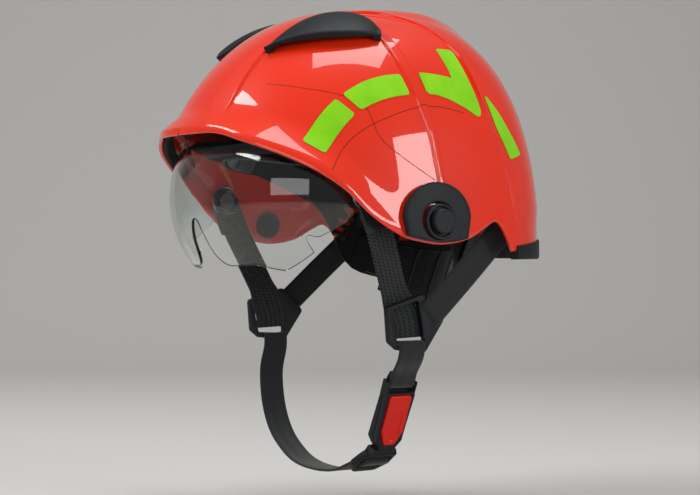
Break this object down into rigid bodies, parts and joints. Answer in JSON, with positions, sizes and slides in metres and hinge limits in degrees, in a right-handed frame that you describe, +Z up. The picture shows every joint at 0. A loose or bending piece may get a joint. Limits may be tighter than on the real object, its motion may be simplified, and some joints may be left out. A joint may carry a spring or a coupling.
{
  "type": "fire helmet",
  "caption": "Rescue helmet with a gloss shell, raised centre band, vent covers, swinging clear visor, ratchet headband and a quick-release chin harness.",
  "frame": {"origin": "middle plane, on the ear line, 2 mm below the shell's edge at the ears: the head's seat", "axes": "+X to the wearer's left, -Y towards the brow, +Z up to the crown"},
  "size_m": [0.2558, 0.2824, 0.3408],
  "materials": {
    "shell_red": "high gloss, painted",
    "foam": "matt foam",
    "trim_black": "fine grain, satin",
    "rubber_black": "matt",
    "port_grey": "satin",
    "reflective_lime": "film",
    "clear_visor": "clear, polished",
    "pin_steel": "brushed",
    "band_black": "satin",
    "pad_grey": "knitted cover",
    "webbing": "woven",
    "rack_grey": "satin",
    "button_red": "gloss"
  },
  "bodies": {
    "helmet": {"outer_shell": "shell_red", "impact_liner": "foam", "rear_edge_trim": "trim_black", "brow_seal": "rubber_black", "vent_cover_left": "trim_black", "vent_cover_right": "trim_black", "side_plate_left": "trim_black", "side_plate_right": "trim_black", "side_port_left": "port_grey", "side_port_right": "port_grey", "port_washer_left": "port_grey", "port_washer_right": "port_grey", "reflective_strips_left": "reflective_lime", "reflective_strips_right": "reflective_lime", "visor_bracket_left": "trim_black", "visor_bracket_right": "trim_black", "visor_pin_left": "pin_steel", "visor_pin_right": "pin_steel", "headband": "band_black", "brow_pad": "pad_grey", "crown_cradle": "webbing", "cradle_clips": "band_black", "nape_cradle": "band_black", "nape_pad": "pad_grey", "nape_arm_left": "band_black", "nape_arm_right": "band_black", "ratchet_cover": "band_black", "rear_anchor_left": "trim_black", "rear_anchor_right": "trim_black", "front_strap_left": "webbing", "front_strap_right": "webbing", "rear_strap_left": "webbing", "rear_strap_right": "webbing", "yoke_left": "trim_black", "yoke_right": "trim_black", "buckle_strap": "webbing", "buckle_housing": "trim_black", "button_spring": "pin_steel", "chin_strap": "webbing"},
    "visor": {"visor": "clear_visor", "visor_rim": "rubber_black"},
    "rack_left": {"band_rack_left": "rack_grey"},
    "rack_right": {"band_rack_right": "rack_grey"},
    "size_knob": {"size_wheel": "trim_black", "size_pinion": "rack_grey"},
    "press_button": {"buckle_button": "button_red"},
    "tongue": {"buckle_tongue": "trim_black"}
  },
  "joints": [
    {"name": "visor_swing", "type": "hinge", "parent": "helmet", "child": "visor", "pos_m": [0, -0.049, 0.036], "axis": [-1, 0, 0], "range_deg": [0, 50]},
    {"name": "size_wheel_turn", "type": "hinge", "parent": "helmet", "child": "size_knob", "pos_m": [0, 0.09332, -0.01822], "axis": [0, 0.9272, -0.3746], "range_deg": [-150, 150]},
    {"name": "rack_left_turn", "type": "hinge", "parent": "helmet", "child": "rack_left", "pos_m": [0, 0.021, 0.011], "axis": [0, 0.3746, 0.9272], "range_deg": [-11.73, 11.73]},
    {"name": "rack_right_turn", "type": "hinge", "parent": "helmet", "child": "rack_right", "pos_m": [0, 0.021, 0.011], "axis": [0, 0.3746, 0.9272], "range_deg": [-11.73, 11.73]},
    {"name": "button_press", "type": "slide", "parent": "helmet", "child": "press_button", "axis": [-0.9135, 0, 0.4067], "range_m": [0, 0.002], "stiffness_N_per_m": 700, "springref_m": -0.001, "deforming": ["button_spring"]},
    {"name": "tongue_release", "type": "slide", "parent": "helmet", "child": "tongue", "axis": [-0.4067, 0, -0.9135], "range_m": [0, 0.03], "deforming": ["chin_strap"]}
  ],
  "couplings": [
    {"joint": "rack_left_turn", "follows": "size_wheel_turn", "ratio": -0.078227},
    {"joint": "rack_right_turn", "follows": "size_wheel_turn", "ratio": 0.078227}
  ]
}
